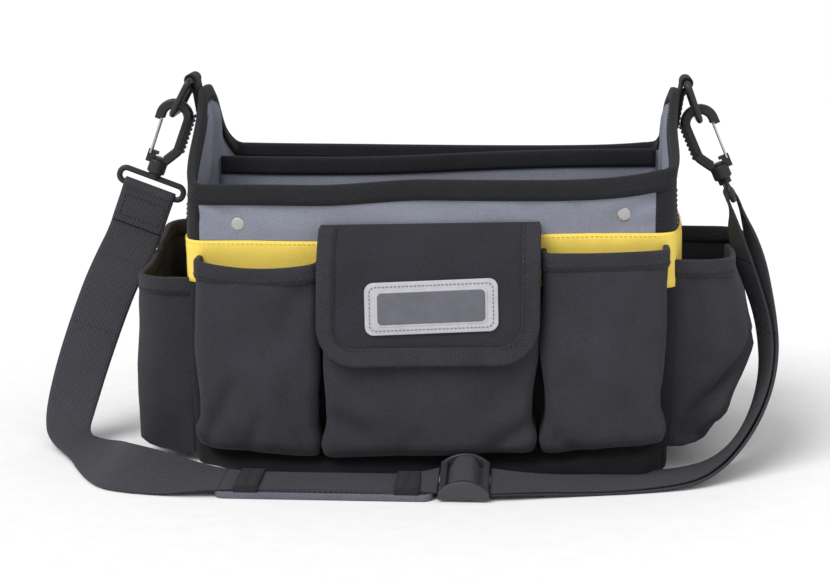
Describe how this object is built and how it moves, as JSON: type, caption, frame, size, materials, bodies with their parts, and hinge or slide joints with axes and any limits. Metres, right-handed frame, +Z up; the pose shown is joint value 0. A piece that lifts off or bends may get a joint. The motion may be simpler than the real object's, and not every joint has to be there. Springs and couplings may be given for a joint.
{
  "type": "garden tool bag",
  "caption": "Open-top tool bag with outside pockets, a flap with a rubber label, a divider, and a shoulder strap on swivel snap hooks with a slider and pad.",
  "frame": {"origin": "middle of the underside of the bag's base", "axes": "+Z up, +X to the bag's right end, -Y towards the front with the flap"},
  "size_m": [0.518, 0.2928, 0.2603],
  "materials": {
    "shell_grey": "grey polyester twill",
    "charcoal_cloth": "charcoal coated polyester plain weave",
    "yellow_cloth": "yellow polyester",
    "black_binding": "black ribbed grosgrain tape",
    "board": "stiffening board",
    "label_rubber": "light grey moulded rubber",
    "label_inlay": "dark grey moulded rubber",
    "closure": "hook and loop tape",
    "nickel": "nickel plate",
    "black_plastic": "satin moulded plastic",
    "strap_webbing": "woven polypropylene webbing",
    "pad_cloth": "grey padded cloth",
    "keeper": "black elastic webbing"
  },
  "bodies": {
    "bag": {"back_backing": "yellow_cloth", "back_pocket": "charcoal_cloth", "back_pocket_binding": "black_binding", "back_rim_binding": "black_binding", "back_wall": "shell_grey", "base_board": "board", "base_panel": "charcoal_cloth", "closure_loop_strip": "closure", "corner_bindings": "black_binding", "divider": "shell_grey", "divider_binding": "black_binding", "flap_hem": "charcoal_cloth", "floor_lining": "shell_grey", "front_backing": "yellow_cloth", "front_left_pocket": "charcoal_cloth", "front_left_pocket_binding": "black_binding", "front_middle_pocket": "charcoal_cloth", "front_middle_pocket_binding": "black_binding", "front_right_pocket": "charcoal_cloth", "front_right_pocket_binding": "black_binding", "front_rim_binding": "black_binding", "front_wall": "shell_grey", "left_backing": "yellow_cloth", "left_end_panel": "shell_grey", "left_end_pocket": "charcoal_cloth", "left_end_pocket_binding": "black_binding", "left_end_rim_binding": "black_binding", "left_tab": "black_binding", "right_backing": "yellow_cloth", "right_end_panel": "shell_grey", "right_end_pocket": "charcoal_cloth", "right_end_pocket_binding": "black_binding", "right_end_rim_binding": "black_binding", "right_tab": "black_binding", "rivet_back_caps": "nickel", "rivets": "nickel", "strap_inner_run": "strap_webbing", "strap_left_run": "strap_webbing", "strap_outer_run": "strap_webbing"},
    "flap": {"flap": "charcoal_cloth", "flap_binding": "black_binding", "label": "label_rubber", "label_inlay": "label_inlay", "closure_hook_strip": "closure"},
    "slider": {"slider_frame": "black_plastic", "slider_bar": "black_plastic", "strap_slider_bend": "strap_webbing", "strap_sewn_end": "strap_webbing"},
    "pad": {"shoulder_pad": "pad_cloth", "pad_keepers": "keeper"},
    "left_ring": {"left_ring": "black_plastic"},
    "left_hook": {"left_hook": "black_plastic"},
    "left_gate": {"left_gate": "nickel"},
    "left_swivel": {"left_strap_bar": "black_plastic", "strap_left_end": "strap_webbing"},
    "right_ring": {"right_ring": "black_plastic"},
    "right_hook": {"right_hook": "black_plastic"},
    "right_gate": {"right_gate": "nickel"},
    "right_swivel": {"right_strap_bar": "black_plastic", "strap_right_bend": "strap_webbing"}
  },
  "joints": [
    {"name": "flap_lift", "type": "hinge", "parent": "bag", "child": "flap", "pos_m": [0, -0.1023, 0.171], "axis": [-1, 0, 0], "range_deg": [0, 120]},
    {"name": "left_ring_swing", "type": "hinge", "parent": "bag", "child": "left_ring", "pos_m": [-0.17425, 0, 0.25558], "axis": [0, 1, 0], "range_deg": [0, 25], "deforming": ["strap_left_run"]},
    {"name": "left_hook_swing", "type": "hinge", "parent": "left_ring", "child": "left_hook", "pos_m": [-0.18693, 0, 0.23174], "axis": [0, 1, 0], "range_deg": [0, 15]},
    {"name": "left_swivel_turn", "type": "hinge", "parent": "left_hook", "child": "left_swivel", "pos_m": [-0.18693, 0, 0.23174], "axis": [0.342, 0, 0.9397], "range_deg": [-25, 25]},
    {"name": "left_gate_press", "type": "hinge", "parent": "left_hook", "child": "left_gate", "pos_m": [-0.20536, 0, 0.20333], "axis": [0, 1, 0], "range_deg": [0, 25], "stiffness_Nm_per_rad": 0.01, "springref_deg": -20.05},
    {"name": "right_ring_swing", "type": "hinge", "parent": "bag", "child": "right_ring", "pos_m": [0.17425, 0, 0.25558], "axis": [0, -1, 0], "range_deg": [0, 25], "deforming": ["strap_inner_run", "strap_outer_run"]},
    {"name": "right_hook_swing", "type": "hinge", "parent": "right_ring", "child": "right_hook", "pos_m": [0.18349, 0, 0.2302], "axis": [0, -1, 0], "range_deg": [0, 15]},
    {"name": "right_swivel_turn", "type": "hinge", "parent": "right_hook", "child": "right_swivel", "pos_m": [0.18349, 0, 0.2302], "axis": [-0.4067, 0, 0.9135], "range_deg": [-25, 25]},
    {"name": "right_gate_press", "type": "hinge", "parent": "right_hook", "child": "right_gate", "pos_m": [0.20385, 0, 0.20315], "axis": [0, -1, 0], "range_deg": [0, 25], "stiffness_Nm_per_rad": 0.01, "springref_deg": -20.05},
    {"name": "slider_slide", "type": "slide", "parent": "bag", "child": "slider", "axis": [1, 0, 0], "range_m": [0, 0.03]},
    {"name": "pad_slide", "type": "slide", "parent": "bag", "child": "pad", "axis": [1, 0, 0], "range_m": [-0.02, 0]}
  ]
}
